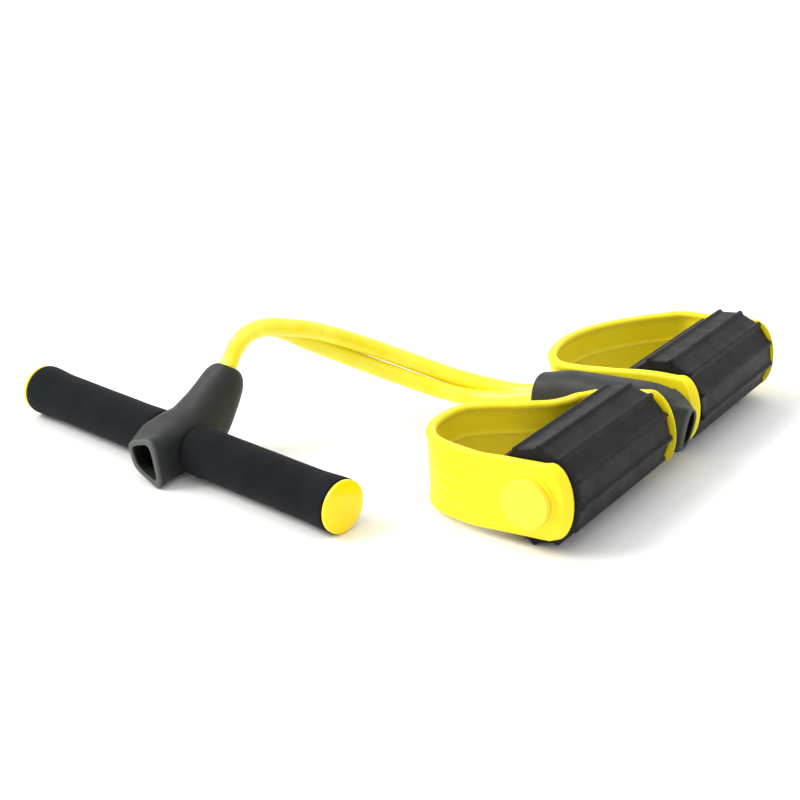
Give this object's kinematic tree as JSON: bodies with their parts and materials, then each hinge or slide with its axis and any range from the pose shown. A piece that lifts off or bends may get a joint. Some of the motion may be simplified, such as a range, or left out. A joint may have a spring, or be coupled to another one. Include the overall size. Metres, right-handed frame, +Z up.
{
  "type": "pedal resistance band",
  "caption": "Elastic exercise band: a bar with foam grips joined by a pair of stretchy tubes to ridged foot rollers with loop straps.",
  "frame": {"origin": "middle of the bounding box, on the floor that the band lies on", "axes": "+Y along the pedal axle from the near roller to the far one, +X away from the handle across the rollers, +Z up"},
  "size_m": [0.3984, 0.3464, 0.0792],
  "materials": {
    "black_foam": "matt closed-cell foam",
    "charcoal_foam": "matt moulded foam",
    "grey_rubber": "satin",
    "yellow_rubber": "satin",
    "yellow_gloss": "gloss",
    "yellow_latex": "satin, slightly translucent",
    "zinc_plated_steel": "bright zinc",
    "black_nylon": "matt"
  },
  "bodies": {
    "pedal_base": {"pedal_axle": "zinc_plated_steel", "pedal_cap_near": "yellow_gloss", "pedal_cap_far": "yellow_gloss"},
    "roller_near_unit": {"roller_near": "charcoal_foam", "roller_core_near": "black_nylon"},
    "roller_far_unit": {"roller_far": "charcoal_foam", "roller_core_far": "black_nylon"},
    "strap_near_unit": {"foot_strap_near": "yellow_rubber"},
    "strap_far_unit": {"foot_strap_far": "yellow_rubber"},
    "pedal_joiner": {"pedal_connector": "grey_rubber", "pedal_stopper_upper": "yellow_gloss", "pedal_stopper_lower": "yellow_gloss", "tube_upper": "yellow_latex", "tube_lower": "yellow_latex"},
    "handle_joiner": {"handle_connector": "grey_rubber", "handle_stopper_upper": "yellow_gloss", "handle_stopper_lower": "yellow_gloss"},
    "handle_unit": {"handle_bar": "zinc_plated_steel", "grip_near": "black_foam", "grip_far": "black_foam", "handle_cap_near": "yellow_gloss", "handle_cap_far": "yellow_gloss"}
  },
  "joints": [
    {"name": "roller_near_spin", "type": "hinge", "parent": "pedal_base", "child": "roller_near_unit", "pos_m": [0.1665, -0.0561, 0.02935], "axis": [0, 1, 0], "continuous": true},
    {"name": "roller_far_spin", "type": "hinge", "parent": "pedal_base", "child": "roller_far_unit", "pos_m": [0.1665, 0.1027, 0.02935], "axis": [0, 1, 0], "continuous": true},
    {"name": "strap_near_swing", "type": "hinge", "parent": "pedal_base", "child": "strap_near_unit", "pos_m": [0.1665, -0.0561, 0.02935], "axis": [0, 1, 0], "continuous": true},
    {"name": "strap_far_swing", "type": "hinge", "parent": "pedal_base", "child": "strap_far_unit", "pos_m": [0.1665, 0.1027, 0.02935], "axis": [0, 1, 0], "continuous": true},
    {"name": "band_lift", "type": "hinge", "parent": "pedal_base", "child": "pedal_joiner", "pos_m": [0.1665, 0.0233, 0.02935], "axis": [0, 1, 0], "continuous": true},
    {"name": "band_stretch", "type": "slide", "parent": "pedal_joiner", "child": "handle_joiner", "axis": [-0.8076, -0.5898, 0], "range_m": [0, 0.45], "stiffness_N_per_m": 400, "deforming": ["tube_upper", "tube_lower"]},
    {"name": "handle_spin", "type": "hinge", "parent": "handle_joiner", "child": "handle_unit", "pos_m": [-0.0625, -0.1379, 0.0161], "axis": [0.9893, -0.1461, 0], "continuous": true}
  ]
}
